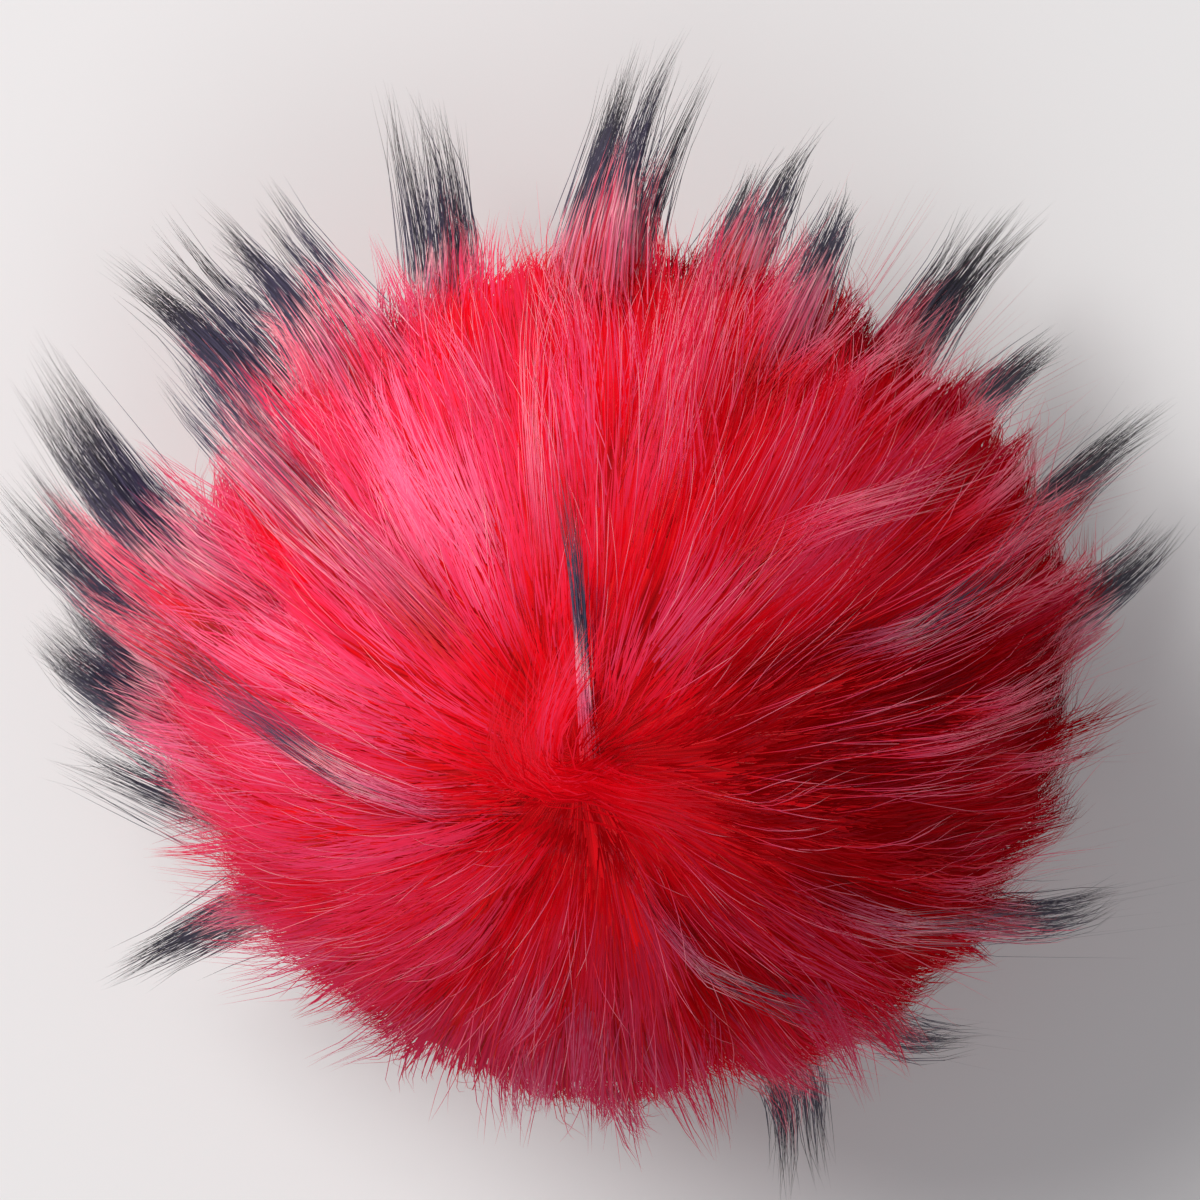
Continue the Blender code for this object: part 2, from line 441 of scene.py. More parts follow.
def turned(directions, angle_of):
    """Directions kept on their meridian about the parting, with angle_of(angle) as their angle from it."""
    cosine = np.clip(directions @ PARTING, -1, 1)[..., None]
    away = unit(directions - cosine * PARTING + 1e-9)
    angle = angle_of(np.arccos(cosine))
    return np.cos(angle) * PARTING + np.sin(angle) * away


def combed(roots, amount):
    """Root directions swept away from the parting by a share of the full sweep."""
    return turned(roots, lambda angle: angle + amount * swept_angle(angle))


def uncombed(tips):
    """The root directions whose fully swept hair ends in these directions."""
    table = np.linspace(0, math.pi, 721)
    return turned(tips, lambda angle: np.interp(angle, table + swept_angle(table), table))


def swell(directions):
    """A sum of round bell-shaped rises and hollows, as a share of the distance from the middle."""
    mean = (BALL_WIDTH + BALL_DEPTH) / 4
    total = np.zeros(directions.shape[:-1])
    for x, y, spread, rise in SWELLS:
        apart = np.linalg.norm(directions - from_above(x * MM, y * MM), axis=-1)
        total += rise * MM / mean * np.exp(-((apart * mean / (spread * MM)) ** 2) / 2)
    return total[..., None]


def ridge(directions):
    """Soft ridges away from the parting, in metres.

    The sum of height * cos(count * bearing + twist * sqrt(count) * angle + count), where angle is measured
    from the parting and bearing goes round it. It fades out towards both ends of that axis.
    """
    angle = np.arccos(np.clip(directions @ PARTING, -1, 1))
    bearing = np.arctan2(directions @ ACROSS, directions @ AHEAD)
    fade = smooth_step(angle, *RIDGES_RISE) * (1 - smooth_step(angle, *RIDGES_DIE))
    total = np.zeros(angle.shape)
    for count, height in RIDGES:
        total += height * np.cos(count * bearing + RIDGE_TWIST * math.sqrt(count) * angle + count)
    return (total * fade * MM)[..., None]


def settled(points):
    """Heights under the softness s become s * exp(height / s - 1), so nothing sinks through the surface."""
    height = points[..., 2]
    pressed = FLOOR_SOFTNESS * np.exp(np.minimum(height, FLOOR_SOFTNESS) / FLOOR_SOFTNESS - 1)
    points[..., 2] = np.where(height < FLOOR_SOFTNESS, pressed, height)
    return points


def outward(directions, share):
    """The point at a share of the way from the ball's middle to its surface, along each direction."""
    upright = np.where(directions[..., 2] > 0, BALL_TOP - CENTRE_HEIGHT, CENTRE_HEIGHT + FOOT_SINK)
    level = np.ones_like(upright)
    radii = np.stack([level * BALL_WIDTH / 2, level * BALL_DEPTH / 2, upright], -1)
    full = radii * (1 + swell(directions)) + ridge(directions)
    return settled(directions * full * share + (0, 0, CENTRE_HEIGHT))


def spread_evenly(count):
    """Even directions over a ball: heights in equal steps, bearings a golden angle apart."""
    step = np.arange(count) + 0.5
    height = 1 - 2 * step / count
    bearing = step * math.pi * (3 - math.sqrt(5))
    ring = np.sqrt(1 - height**2)
    return np.stack([ring * np.cos(bearing), ring * np.sin(bearing), height], -1)


def wander(directions, amount):
    """A smooth sideways lean that changes slowly over the ball.

    On each axis it is the sum of sin(turn * another axis's coordinate + shift + the axis's own shift), each
    wave a little weaker than the one before.
    """
    lean = np.zeros(directions.shape)
    for wave, (turn, shift) in enumerate(WANDER_WAVES):
        swapped = np.roll(directions, wave + 1, axis=-1)
        lean += np.sin(turn * swapped + shift + WANDER_AXIS_SHIFTS) / (wave + 1.5)
    return amount * lean


def nearest(points, centres):
    """For each direction, the number of the centre that it is nearest to."""
    return np.argmax(points @ centres.T, axis=1)


def nearest_of_many(points, centres):
    """As nearest, for many centres: worked out for a few thousand points at a time."""
    return np.concatenate([nearest(block, centres) for block in np.array_split(points, 12)])


def scattered(rng, directions, amount):
    """Directions moved sideways at random by about this many radians."""
    return unit(directions + rng.normal(0, amount, directions.shape))


# ---------------------------------------------------------------- strands as meshes


def strand_mesh(name, paths, widths, flatness, tones, material, soft=SOFT_SHADING):
    """Closed three-sided strands in one mesh.

    paths has a row of points for each strand. A flat triangle, its broad side outwards, is carried along
    each path, closed at the root by a face and drawn to a point at the tip. The map's u is the strand's tone
    plus a strip for each side, and its v runs from root to tip.
    """
    count, steps, _ = paths.shape
    along = unit(np.gradient(paths, axis=1) + 1e-12)
    side = unit(np.cross(along, paths - (0, 0, CENTRE_HEIGHT)) + 1e-12)
    lift = np.cross(side, along)
    turn = np.radians([30, 150, 270])
    across, thick = np.cos(turn)[:, None], flatness * np.sin(turn)[:, None]
    ring = across * side[:, :-1, None] + thick * lift[:, :-1, None]
    rings = paths[:, :-1, None] + ring * widths[:, :-1, None, None] / 2
    points = np.concatenate([rings.reshape(count, -1, 3), paths[:, -1:]], axis=1)

    per_strand = 3 * (steps - 1) + 1
    faces, marks = [(0, 1, 2)], [((0, 0), (1, 0), (2, 0))]
    for step in range(steps - 2):
        for corner in range(3):
            low, high = 3 * step, 3 * step + 3
            after = (corner + 1) % 3
            faces += [
                (low + corner, high + corner, high + after),
                (low + corner, high + after, low + after),
            ]
            marks += [
                ((corner, step), (corner, step + 1), (corner + 1, step + 1)),
                ((corner, step), (corner + 1, step + 1), (corner + 1, step)),
            ]
    for corner in range(3):
        last = 3 * (steps - 2)
        faces.append((last + corner, per_strand - 1, last + (corner + 1) % 3))
        marks.append(((corner, steps - 2), (corner + 0.5, steps - 1), (corner + 1, steps - 2)))
    faces, marks = np.array(faces), np.array(marks, float)
    corners = (faces[None] + np.arange(count)[:, None, None] * per_strand).reshape(-1)
    u = tones[:, None, None] + marks[None, ..., 0] * SIDE_STRIP
    v = np.broadcast_to(marks[None, ..., 1] / (steps - 1), u.shape)
    uv = np.stack([u, v], -1).reshape(-1, 2)
    return mesh_piece(name, points.reshape(-1, 3), corners, uv, material, soft)


def mesh_piece(name, points, corners, uv, material, soft=0.0):
    """A smooth triangle mesh from its points, its faces' corners and the map point of each corner.

    soft draws its shading normals from their own, at 0, to straight out of the ball, at 1.
    """
    data = bpy.data.meshes.new(name)
    faces = len(corners) // 3
    data.vertices.add(len(points))
    data.vertices.foreach_set("co", points.astype(np.float32).ravel())
    data.loops.add(len(corners))
    data.loops.foreach_set("vertex_index", corners.astype(np.int32))
    data.polygons.add(faces)
    data.polygons.foreach_set("loop_start", np.arange(faces, dtype=np.int32) * 3)
    data.polygons.foreach_set("loop_total", np.full(faces, 3, np.int32))
    data.uv_layers.new(name="OFBake")
    data.uv_layers["OFBake"].uv.foreach_set("vector", uv.astype(np.float32).ravel())
    data.update(calc_edges=True)
    data.shade_smooth()
    if soft:
        own = np.empty(len(points) * 3, np.float32)
        data.vertices.foreach_get("normal", own)
        normals = own.reshape(-1, 3) * (1 - soft) + unit(points - (0, 0, CENTRE_HEIGHT)) * soft
        data.normals_split_custom_set_from_vertices(unit(normals))
    data.materials.append(material)
    piece = bpy.data.objects.new(name, data)
    bpy.context.scene.collection.objects.link(piece)
    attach(piece, "root")
    return piece


# ---------------------------------------------------------------- materials


class Link:
    """One output of a material's node tree; arithmetic on it adds Math nodes."""

    def __init__(self, tree, socket=None):
        self.tree = tree
        self.socket = socket

    def node(self, kind, settings, inputs, output=0):
        """A new node: its settings first, a ramp's stops among them, then its inputs' values or links."""
        made = self.tree.nodes.new("ShaderNode" + kind)
        for name, value in settings.items():
            if name == "stops":
                fill_ramp(made.color_ramp, value)
            else:
                setattr(made, name, value)
        for name, value in inputs.items():
            if isinstance(value, Link):
                self.tree.links.new(value.socket, made.inputs[name])
            else:
                made.inputs[name].default_value = value
        return Link(self.tree, made.outputs[output] if made.outputs else None)

    def maths(self, operation, first, second):
        return self.node("Math", {"operation": operation}, {0: first, 1: second})

    def __add__(self, other):
        return self.maths("ADD", self, other)

    def __sub__(self, other):
        return self.maths("SUBTRACT", self, other)

    def __rsub__(self, other):
        return self.maths("SUBTRACT", other, self)

    def __mul__(self, other):
        return self.maths("MULTIPLY", self, other)

    __radd__ = __add__
    __rmul__ = __mul__


def fill_ramp(ramp, stops):
    """A ramp's stops, each a place and a colour."""
    while len(ramp.elements) < len(stops):
        ramp.elements.new(1.0)
    for element, (place, colour) in zip(ramp.elements, stops):
        element.position = place
        element.color = (*colour, 1.0)


def mixed(link, mode, amount, first, second):
    """Two colours mixed in a mode, by an amount."""
    settings = {"data_type": "RGBA", "blend_type": mode}
    return link.node("Mix", settings, {0: amount, 6: first, 7: second}, output=2)


def new_material(name):
    """An empty material, and a link to build its nodes with."""
    material = bpy.data.materials.new(name)
    material.use_nodes = True
    material.node_tree.nodes.clear()
    return material, Link(material.node_tree)


def surface(link, colour, finish, **others):
    """The material's surface: its colour, its finish as roughness and shine, and any other inputs."""
    roughness, shine = finish
    inputs = {"Base Color": colour, "Roughness": roughness, "Specular IOR Level": shine, **others}
    link.node("OutputMaterial", {}, {"Surface": link.node("BsdfPrincipled", {}, inputs)})


def tone_and_place(link):
    """The map's two numbers: the strand's tone, and how far along it from root to tip."""
    spot = link.node("UVMap", {"uv_map": "OFBake"}, {})
    apart = link.node("SeparateXYZ", {}, {"Vector": spot})
    return apart, Link(link.tree, apart.socket.node.outputs[1])


def dye_of(link, tone, place):
    """The dye from crimson to pink by tone, darkened towards the root by painted shade down in the fur."""
    dyes = ((0.0, CRIMSON), (0.36, CORAL), (0.7, ROSE), (1.0, PINK))
    # Painted shade: the colour is darkened to 0.8 at the root, deep in the fur, and not at all from half way
    # on
    shades = ((0.0, (0.8,) * 3), (0.5, (1.0,) * 3))
    dye = link.node("ValToRGB", {"stops": dyes}, {"Fac": tone})
    depth = link.node("ValToRGB", {"stops": shades}, {"Fac": place})
    return mixed(link, "MULTIPLY", 1.0, dye, depth)


def underfur_material():
    """Fine underfur: its tone picks the dye and the painted light, painted shade darkens its root, and its
    tip is paler.
    """
    material, link = new_material("dyed and shaded underfur")
    tone, place = tone_and_place(link)
    smooth = {"interpolation_type": "SMOOTHSTEP"}
    tip = link.node("MapRange", smooth, {0: place, 1: PALER_FROM, 2: 1.0, 3: 0.0, 4: PALER_BY})
    colour = mixed(link, "MIX", tip, dye_of(link, tone, place), (*PINK, 1.0))
    surface(link, colour, UNDERFUR_FINISH)
    return material


def guard_material():
    """Guard hair: dyed at the root, pale pink past the middle, slate and then black-brown at the tip."""
    material, link = new_material("guard hair")
    tone, place = tone_and_place(link)
    stops = (
        (0.0, CORAL),
        (0.15, ROSE),
        (0.36, PINK),
        (0.46, PALE),
        (0.56, SLATE),
        (0.8, SLATE),
        (1.0, BLACK_BROWN),
    )
    colour = link.node("ValToRGB", {"stops": stops}, {"Fac": place + (tone - 0.5) * DARK_SHIFT})
    surface(link, colour, GUARD_FINISH)
    return material


def pale_hair_material():
    """Pale guard hair: crimson at the root, rose and salmon at the middle, and pale at the tip."""
    material, link = new_material("pale guard hair")
    tone, place = tone_and_place(link)
    stops = ((0.0, CRIMSON), (0.2, CORAL), (0.4, ROSE), (0.65, SALMON), (1.0, PALE))
    colour = link.node("ValToRGB", {"stops": stops}, {"Fac": place + (tone - 0.5) * PALE_SHIFT})
    surface(link, colour, PALE_FINISH)
    return material


def wool_material():
    """The close wool: crimson and coral streaks that run away from the parting."""
    material, link = new_material("wool near the skin")
    spot = link.node("UVMap", {"uv_map": "OFBake"}, {})
    stretched = link.node("Mapping", {}, {"Vector": spot, "Scale": WOOL_STREAKS})
    streaks = link.node("TexNoise", {}, {"Vector": stretched, "Scale": 1.0, "Detail": 2.0})
    colour = link.node("ValToRGB", {"stops": ((0.3, CRIMSON), (0.6, CORAL))}, {"Fac": streaks})
    raised = {"Height": streaks, "Strength": WOOL_BUMP_STRENGTH, "Distance": WOOL_BUMP}
    surface(link, colour, WOOL_FINISH, Normal=link.node("Bump", {}, raised))
    return material


# ---------------------------------------------------------------- the pieces


def parting_grid(angles, bearings):
    """Directions at these angles from the parting and these bearings about it."""
    angle, bearing = np.meshgrid(angles, bearings, indexing="ij")
    ring = np.cos(bearing)[..., None] * AHEAD + np.sin(bearing)[..., None] * ACROSS
    return np.cos(angle)[..., None] * PARTING + np.sin(angle)[..., None] * ring


def fur_base():
    """The close wool under the hair: a ball at a share of the radius, on rings round the parting.

    Its lowest points are put at height 0, where they make the flat spot that it rests on.
    """
    rings, around = WOOL_RINGS, WOOL_SIDES
    angles = np.linspace(0, math.pi, rings + 1)
    inner = parting_grid(angles[1:-1], np.arange(around) * 2 * math.pi / around).reshape(-1, 3)
    directions = np.concatenate([inner, [PARTING, -PARTING]])
    points = outward(directions, (WOOL_SHARE - WOOL_HOLLOW * whorl(directions))[:, None])
    points[points[:, 2] < FOOT_CUT, 2] = 0
    ring, step = np.meshgrid(np.arange(rings - 2), np.arange(around), indexing="ij")
    one = (ring * around + step).ravel()
    two = (ring * around + (step + 1) % around).ravel()
    top, under, last = len(points) - 2, len(points) - 1, (rings - 2) * around
    step = np.arange(around)
    after = (step + 1) % around
    faces = np.concatenate(
        [
            np.stack([one, one + around, two + around], 1),
            np.stack([one, two + around, two], 1),
            np.stack([np.full(around, top), step, after], 1),
            np.stack([np.full(around, under), last + after, last + step], 1),
        ]
    )
    wide, tall = 1 / around, 1 / rings
    row = (ring.ravel() + 1) / rings
    col = (one % around) / around
    turn = step / around
    middle, start, end = turn + wide / 2, np.zeros(around), np.ones(around)
    uv = np.concatenate(
        [
            np.stack([col, row, col, row + tall, col + wide, row + tall], 1),
            np.stack([col, row, col + wide, row + tall, col + wide, row], 1),
            np.stack([middle, start, turn, start + tall, turn + wide, start + tall], 1),
            np.stack([middle, end, turn + wide, end - tall, turn, end - tall], 1),
        ]
    )
    piece = mesh_piece("fur_base", points, faces.ravel(), uv.reshape(-1, 2), wool_material())
    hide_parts("fur_ball")


class Locks:
    """The big locks: where each starts and ends, how it leans, and its share of the dye."""

    def __init__(self):
        rng = np.random.default_rng(SEEDS["locks"])
        self.tips = scattered(rng, spread_evenly(LOCKS), LOCK_SCATTER)
        self.roots = uncombed(self.tips)
        self.lean = rng.normal(0, LOCK_LEAN, (LOCKS, 3))
        self.tone = rng.normal(0, LOCK_TONE, LOCKS)


def whorl(directions):
    """1 at the parting and 0 well away from it: exp(-(angle / reach)^2), for the angle from the parting."""
    angle = np.arccos(np.clip(directions @ PARTING, -1, 1))
    return np.exp(-((angle / WHORL_REACH) ** 2))


def laid_hair(roots, towards, gather, lean, ends, steps, rise_curve=RISE_CURVE):
    """Hair from the skin to the surface, as rows of points.

    At a share t of its length a hair is swept by t^curve, has risen by 1 - (1 - t)^rise of its way, is drawn
    towards each gathering root by gather * t, and leans by t^2. Hair rises faster at the parting, and drifts
    towards +Y at the sides.
    """
    lean = lean + wander(roots, WANDER)
    tips = combed(roots, 1.0)
    quick = rise_curve + WHORL_RISE * whorl(tips)
    paths = []
    for t in steps:
        amount = t**COMB_CURVE
        direction = combed(roots, amount)
        for pull, share in zip(towards, gather):
            direction = direction + share * t * (combed(pull, amount) - direction)
        drift = DRIFT * np.abs(direction[:, :1]) * (0, 1, 0)
        direction = unit(direction + (lean + drift) * t**2)
        rise = SKIN_SHARE + (ends - SKIN_SHARE) * (1 - (1 - min(t, 1)) ** quick)
        paths.append(outward(direction, rise[:, None]))
    return np.stack(paths, 1)


def lifted(paths, lift, steps):
    """Hair that leaves the fur towards its tip: its distance from the ball's middle grows by lift * t^3."""
    middle = np.array((0, 0, CENTRE_HEIGHT))
    return settled((paths - middle) * (1 + lift[:, None, None] * steps[:, None] ** 3) + middle)


def painted_light_patches(directions):
    """Painted highlights and shade: the sum of tone * exp(-(distance / spread)^2 / 2), with distance along
    the hair divided by stretch.
    """
    mean = (BALL_WIDTH + BALL_DEPTH) / 4
    total = np.zeros(len(directions))
    for x, y, spread, tone in LIGHT_AND_SHADE_PATCHES:
        centre = from_above(x * MM, y * MM)
        away = unit(centre - (centre @ PARTING) * PARTING)
        offset = (directions - centre) * mean
        along = offset @ away
        squared = (offset**2).sum(1) - along**2 + (along / PATCH_STRETCH) ** 2
        total += tone * np.exp(-squared / (spread * MM) ** 2 / 2)
    return total


def local_tone(tips):
    """The dye by place, for hair that ends here: the sum of these tones.

    Painted light makes it pinker to the lit left and deeper to the shaded right, by so much for each metre.
    Painted cool shade makes it pinker along the lower rim. Painted highlight and shade make it pinker on
    ridges and swells and deeper in hollows, by so much for each millimetre. It is deeper at the parting, by
    exp(-(angle / reach)^2).
    Fine streaks run away from the parting, each cos(count * bearing + twist * sqrt(count) * angle + count).
    Last come soft spots of painted highlight and shade.
    """
    directions = unit(tips - (0, 0, CENTRE_HEIGHT))
    angle = np.arccos(np.clip(directions @ PARTING, -1, 1))
    bearing = np.arctan2(directions @ ACROSS, directions @ AHEAD)
    # Painted light: pinker on the lit left, deeper on the shaded right
    tone = MIDDLE_TONE + PAINTED_LIGHT_TO_THE_RIGHT * tips[:, 0]
    # Painted cool shade along the lower rim
    tone += LOWER_RIM_COOL_SHADE * smooth_step(-tips[:, 1], *LOWER_RIM) * (tips[:, 2] > LOWER_RIM_LOWEST)
    # Painted highlight on crests and painted shade in hollows
    crest = ridge(directions)[:, 0] + SWELL_SHARE * swell(directions)[:, 0] * BALL_WIDTH / 2
    tone += CREST_LIGHT_AND_SHADE * crest / MM
    tone += PARTING_TONE * np.exp(-((angle / PARTING_REACH) ** 2))
    for count in STREAKS:
        tone += STREAK_TONE * np.cos(count * bearing + STREAK_TWIST * math.sqrt(count) * angle + count)
    # Soft spots of painted highlight and painted shade
    return tone + painted_light_patches(directions)


def underfur(locks, dyed):
    """The dense hair: fine strands, gathered lightly into wisps and the wisps into the locks."""
    rng = np.random.default_rng(SEEDS["underfur"])
    wisp_tips = scattered(rng, spread_evenly(WISPS), WISP_SCATTER)
    wisp_lean = rng.normal(0, WISP_LEAN, (WISPS, 3))
    wisp_rise = rng.normal(0, WISP_RISE, WISPS)
    tips = scattered(rng, spread_evenly(STRANDS), STRAND_SCATTER)
    tips = tips[tips[:, 2] > STRAND_LOWEST]
    count = len(tips)
    lock, wisp = nearest(tips, locks.tips), nearest_of_many(tips, wisp_tips)
    stray = rng.uniform(0, 1, count) ** STRAY_RARITY
    ends = STRAND_END + wisp_rise[wisp] + rng.normal(0, STRAND_UNEVEN, count) + STRAY_RISE * stray
    own_lean = rng.normal(0, STRAND_LEAN, (count, 3)) * (1 + STRAY_LEAN * stray[:, None])
    lean = locks.lean[lock] + wisp_lean[wisp] + own_lean
    towards = [uncombed(wisp_tips)[wisp], locks.roots[lock]]
    paths = laid_hair(uncombed(tips), towards, [WISP_GATHER, LOCK_GATHER], lean, ends, STRAND_STEPS)
    widths = STRAND_WIDTH * rng.uniform(*STRAND_WIDTHS, count)[:, None] * STRAND_PROFILE
    own_tone = WISP_TONE * wisp_rise[wisp] + rng.normal(0, STRAND_TONE, count)
    tone = np.clip(local_tone(paths[:, -1]) + locks.tone[lock] + own_tone, LEAST_TONE, MOST_TONE)
    order = rng.permutation(count)
    for part in range(STRAND_PARTS):
        some = order[part::STRAND_PARTS]
        name = f"underfur_{part + 1}"
        piece = strand_mesh(name, paths[some], widths[some], STRAND_FLATNESS, tone[some], dyed)
        # Fine hair lets light through, so it casts no shadow of its own
        piece.visible_shadow = False


def pointed_locks(dyed):
    """Locks that stand out of the fur and draw to a point, each hair pulled to its lock's own line."""
    rng = np.random.default_rng(SEEDS["pointed locks"])
    tips = scattered(rng, spread_evenly(POINTED_LOCKS), POINTED_SCATTER)
    tips = tips[(tips[:, 2] > POINTED_LOWEST) & (tips @ PARTING < POINTED_NEAREST)]
    hairs = rng.integers(*HAIRS_IN_LOCK, len(tips))
    lock = np.repeat(np.arange(len(tips)), hairs)
    count = len(lock)
    lock_lift = LEAST_LIFT + MORE_LIFT * rng.uniform(0, 1, len(tips)) ** LIFT_POWER
    lock_lean = rng.normal(0, POINTED_LEAN, (len(tips), 3))
    roots = scattered(rng, uncombed(tips)[lock], POINTED_HAIR_SCATTER)
    lean = lock_lean[lock] + rng.normal(0, POINTED_HAIR_LEAN, (count, 3))
    ends = POINTED_END + rng.normal(0, POINTED_UNEVEN, count)
    paths = laid_hair(roots, [uncombed(tips)[lock]], [POINTED_GATHER], lean, ends, STRAND_STEPS)
    paths = lifted(paths, lock_lift[lock] * rng.uniform(*HAIR_LIFTS, count), STRAND_STEPS)
    widths = STRAND_WIDTH * rng.uniform(*POINTED_WIDTHS, count)[:, None] * POINTED_PROFILE
    pinker = rng.uniform(*POINTED_PINKER, len(tips))[lock] + rng.normal(0, POINTED_HAIR_TONE, count)
    tone = np.clip(local_tone(paths[:, -1]) + pinker, LEAST_TONE, MOST_TONE)
    piece = strand_mesh("pointed_locks", paths, widths, POINTED_FLATNESS, tone, dyed)
    piece.visible_shadow = False


def guard_hair(locks, pale):
    """Single long hairs over the underfur, each swept a little its own way and lifting off at its tip."""
    rng = np.random.default_rng(SEEDS["guard hair"])
    tips = scattered(rng, spread_evenly(GUARD_HAIRS), GUARD_SCATTER)
    tips = tips[(tips[:, 2] > GUARD_LOWEST) & (tips @ PARTING < GUARD_NEAREST)]
    count = len(tips)
    lock = nearest(tips, locks.tips)
    upper = smooth_step(tips[:, 2], *GUARD_UPPER)
    lean = locks.lean[lock] + rng.normal(0, GUARD_LEAN, (count, 3)) * upper[:, None]
    ends = rng.uniform(*GUARD_ENDS, count)
    towards = [locks.roots[lock]]
    paths = laid_hair(uncombed(tips), towards, [GUARD_GATHER], lean, ends, GUARD_STEPS, GUARD_RISE)
    lift = GUARD_LIFT * rng.uniform(0, 1, count) ** 2 * (GUARD_LOW_LIFT + (1 - GUARD_LOW_LIFT) * upper)
    paths = lifted(paths, lift, GUARD_STEPS)
    widths = GUARD_WIDTH * rng.uniform(*GUARD_WIDTHS, count)[:, None] * GUARD_PROFILE
    # Painted light: paler on the lit left, deeper on the shaded right
    tone = rng.uniform(*GUARD_TONES, count) + GUARD_PAINTED_LIGHT_TO_THE_RIGHT * paths[:, -1, 0]
    tone = np.clip(tone, LEAST_TONE, MOST_TONE)
    strand_mesh("pale_guard_hair", paths, widths, GUARD_FLATNESS, tone, pale, PALE_SOFT_SHADING)


def on_surface(bearing, height):
    """The direction of the ball's surface at a bearing and a height."""
    upright = BALL_TOP - CENTRE_HEIGHT if height > CENTRE_HEIGHT else CENTRE_HEIGHT + FOOT_SINK
    rise = (height - CENTRE_HEIGHT) / upright
    inward = math.sqrt(1 - rise * rise)
    return np.array([inward * math.cos(bearing), inward * math.sin(bearing), rise])


def curved_hair(rng, controls, spreads, hairs, width, dark_from):
    """The hairs of one bundle, on cubic curves: their paths, their tones and their width.

    controls are the bundle's four control points and spreads how far its hairs part at each of them. A hair
    keeps its place in the bundle from end to end, strays towards the tip, and stops short of it by its own
    share. dark_from is the share of the length where it turns dark, or 0 for hair that stays pale.
    """
    place = rng.normal(0, 1, (hairs, 3))
    ends = LONGEST_HAIR - SHORT_BY * rng.uniform(0, 1, hairs)[:, None] ** SHORT_POWER
    points = [control + place * spread for control, spread in zip(controls, spreads)]
    points[2] = points[2] + rng.normal(0, BEND_STRAY, (hairs, 3)) * spreads[2]
    points[3] = points[3] + rng.normal(0, TIP_STRAY, (hairs, 3)) * spreads[3]
    hair = []
    for step in np.linspace(0, 1, len(BUNDLE_PROFILE)):
        t = step * ends
        weights = ((1 - t) ** 3, 3 * t * (1 - t) ** 2, 3 * t**2 * (1 - t), t**3)
        hair.append(sum(weight * point for weight, point in zip(weights, points)))
    tone = 0.5 + rng.normal(0, HAIR_TONE, hairs)
    if dark_from:
        tone += (DYED_DARK_FROM - dark_from / ends[:, 0]) / DARK_SHIFT
    return settled(np.stack(hair, 1)), np.clip(tone, LEAST_TONE, MOST_TONE), width


def tufts():
    """The long tufts at the rim, each of pointed wisps that lie along the fur and leave it at its foot.

    A wisp's cubic curve has these control points: the skin behind the foot, the foot, a bend half way out,
    and the tip, the last two drawn in towards the foot for a short wisp. One wisp in three is short and
    stays pale, and the others end in slate. Returns the dark and the pale wisps.
    """
    dark, pale = [], []
    for number, (foot_bearing, foot_height, tip_bearing, reach, height, fullness) in enumerate(TUFTS):
        rng = np.random.default_rng([SEEDS["tufts"], number])
        foot_direction = on_surface(math.radians(foot_bearing), foot_height * MM)
        bearing = math.radians(tip_bearing)
        tip = np.array([math.cos(bearing) * reach, math.sin(bearing) * reach, height]) * MM
        skin = outward(turned(foot_direction, lambda angle: angle - SKIN_BACK), np.array([TUFT_SKIN]))
        foot = outward(turned(foot_direction, lambda angle: angle - FOOT_BACK), np.array([TUFT_FOOT]))
        bend = (foot + tip) / 2 + (0, 0, TUFT_ARCH * MM)
        dark_from = DARK_FROM + DARK_LATER * max(foot_height - HIGH_FOOT, 0)
        wisps = round(WISPS_IN_TUFT * math.sqrt(fullness))
        spread = rng.normal(0, 1, (wisps, 3))
        spread -= spread.mean(axis=0)
        heading = unit(tip - foot)
        spread -= (spread @ heading)[:, None] * heading
        for wisp in range(wisps):
            stays_pale = wisp % PALE_WISP_EVERY == PALE_WISP_EVERY - 1
            sway = rng.normal(0, TUFT_SWAY, 3) * MM
            length = rng.uniform(*(PALE_LENGTH if stays_pale else DARK_LENGTH))
            line = (
                skin,
                foot - (foot - skin) * (1 - length) * SHORT_WISP_BACK,
                foot + (bend - foot) * length + sway,
                foot + (tip - foot) * length,
            )
            apart = spread[wisp] * MM * math.sqrt(fullness)
            controls = [point + apart * part for point, part in zip(line, WISPS_PART)]
            hairs = int(HAIRS_IN_TUFT * fullness / wisps)
            turns_dark = 0 if stays_pale else dark_from / length
            hair = curved_hair(rng, controls, np.array(HAIRS_PART) * MM, hairs, TUFT_HAIR_WIDTH, turns_dark)
            (pale if stays_pale else dark).append(hair)
    return dark, pale


def bundles_on_the_fur():
    """Bundles of guard hair that lie over the ball and leave it at their tips, and the one that stands up.

    Returns the hair of those with dark tips, and of the pale ones.
    """
    rng = np.random.default_rng(SEEDS["bundles"])
    dark, pale = [], []
    for row in (*BUNDLES, STANDING_BUNDLE):
        hair = bundle(rng, row, BUNDLE_HAIR_WIDTH, row[-1])
        (dark if row[-1] else pale).append(hair)
    return dark, pale


def bundle(rng, row, width, dark_from):
    """The hair of one row of a table, on a cubic curve.

    The curve starts at the row's first place, passes its second and third at a third and two thirds of the
    way, and ends at the tip.
    """
    places = zip(np.array(row[:6]).reshape(3, 2) * MM, BUNDLE_LIFTS)
    start, second, third = (outward(from_above(*place), np.array([lift])) for place, lift in places)
    tip = np.array(row[6:9]) * MM
    ahead = (-5 * start + 18 * second - 9 * third + 2 * tip) / 6
    behind = (2 * start - 9 * second + 18 * third - 5 * tip) / 6
    hairs, spread = row[9:11]
    spreads = np.array(BUNDLE_PARTS) * spread * MM
    return curved_hair(rng, (start, ahead, behind, tip), spreads, hairs, width, dark_from)


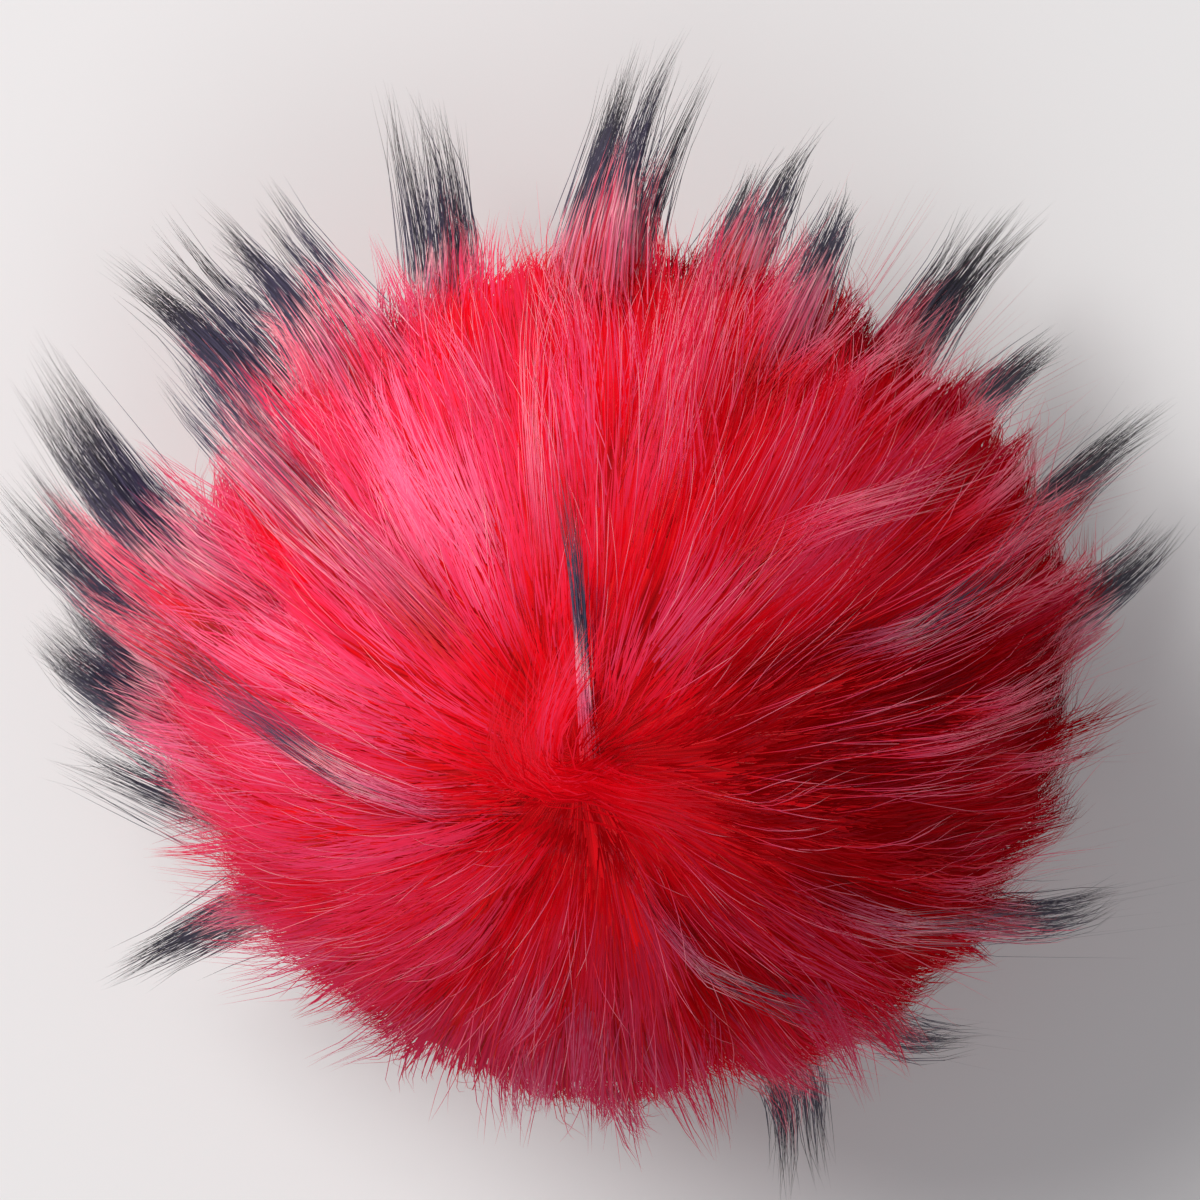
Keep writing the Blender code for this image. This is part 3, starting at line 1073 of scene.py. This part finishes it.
def parting_curls(dyed):
    """Underfur that curls round the parting, a little pinker than the hair it lies on."""
    rng = np.random.default_rng(SEEDS["curls"])
    curls = []
    for row in PARTING_CURLS:
        paths, tone, width = bundle(rng, row, STRAND_WIDTH, 0)
        curls.append((paths, row[-1] + CURL_TONE_SHARE * (tone - 0.5), width))
    piece = hair_piece("parting_curls", curls, dyed, SOFT_SHADING)
    piece.visible_shadow = False


def hair_piece(name, bundles, material, soft):
    """One piece of all these bundles' hair, each hair about as wide as its bundle says."""
    rng = np.random.default_rng(SEEDS[name])
    paths = np.concatenate([hair for hair, _, _ in bundles])
    tones = np.concatenate([tone for _, tone, _ in bundles])
    width = np.concatenate([np.full(len(tone), wide) for _, tone, wide in bundles])
    widths = (width * rng.uniform(*BUNDLE_WIDTHS, len(paths)))[:, None] * BUNDLE_PROFILE
    return strand_mesh(name, paths, widths, BUNDLE_FLATNESS, tones, material, soft)


def long_hair(pale):
    """The tufts and the bundles: those with dark tips in two pieces, and the pale ones in one."""
    dark_tufts, pale_tufts = tufts()
    dark_bundles, pale_bundles = bundles_on_the_fur()
    dark = guard_material()
    hair_piece("dark_tipped_tufts", dark_tufts, dark, SOFT_SHADING)
    hair_piece("dark_tipped_bundles", dark_bundles, dark, SOFT_SHADING)
    piece = hair_piece("pale_bundles", pale_tufts + pale_bundles, pale, PALE_SOFT_SHADING)
    piece.visible_shadow = False


# ---------------------------------------------------------------- camera, light and floor


def staged_floor():
    """The pale floor at z = 0, no part of the object."""
    floor = bpy.data.meshes.new("floor")
    corners = [(-FLOOR_HALF, -FLOOR_HALF, 0), (FLOOR_HALF, -FLOOR_HALF, 0)]
    corners += [(FLOOR_HALF, FLOOR_HALF, 0), (-FLOOR_HALF, FLOOR_HALF, 0)]
    floor.from_pydata(corners, [], [(0, 1, 2, 3)])
    material, link = new_material("pale floor")
    matt = {"Base Color": (*FLOOR_COLOUR, 1.0), "Roughness": FLOOR_ROUGHNESS}
    link.node("OutputMaterial", {}, {"Surface": link.node("BsdfPrincipled", {}, matt)})
    floor.materials.append(material)
    piece = bpy.data.objects.new("floor", floor)
    bpy.context.scene.collection.objects.link(piece)


def area_light(name, place, size, watts, colour):
    """A round soft light that points at the ball."""
    data = bpy.data.lights.new(name, "AREA")
    data.shape = "DISK"
    data.size = size
    data.energy = watts
    data.color = colour
    light = bpy.data.objects.new(name, data)
    light.location = place
    aim = Vector(LIT_PLACE) - Vector(place)
    light.rotation_euler = aim.to_track_quat("-Z", "Y").to_euler()
    bpy.context.scene.collection.objects.link(light)


def studio():
    """The two round lights, and the even light all round."""
    for row in LIGHTS:
        area_light(*row)
    world = bpy.data.worlds.new("studio")
    world.use_nodes = True
    background = world.node_tree.nodes["Background"]
    background.inputs["Color"].default_value = (*EVEN_COLOUR, 1.0)
    background.inputs["Strength"].default_value = EVEN_STRENGTH
    bpy.context.scene.world = world


def camera():
    """A camera that looks straight down."""
    data = bpy.data.cameras.new("camera")
    data.sensor_width = SENSOR
    data.lens = SENSOR * (CAMERA_HEIGHT - CENTRE_HEIGHT) / FRAME_WIDTH
    data.clip_start = 0.01
    data.clip_end = 10.0
    eye = bpy.data.objects.new("camera", data)
    eye.location = (CAMERA_X, CAMERA_Y, CAMERA_HEIGHT)
    bpy.context.scene.collection.objects.link(eye)
    bpy.context.scene.camera = eye


fur_base()
combed_locks = Locks()
underfur_dye_and_shade = underfur_material()
underfur(combed_locks, underfur_dye_and_shade)
pointed_locks(underfur_dye_and_shade)
pale_hair = pale_hair_material()
guard_hair(combed_locks, pale_hair)
long_hair(pale_hair)
parting_curls(underfur_dye_and_shade)
staged_floor()
studio()
camera()
bpy.context.scene.view_settings.view_transform = "Standard"
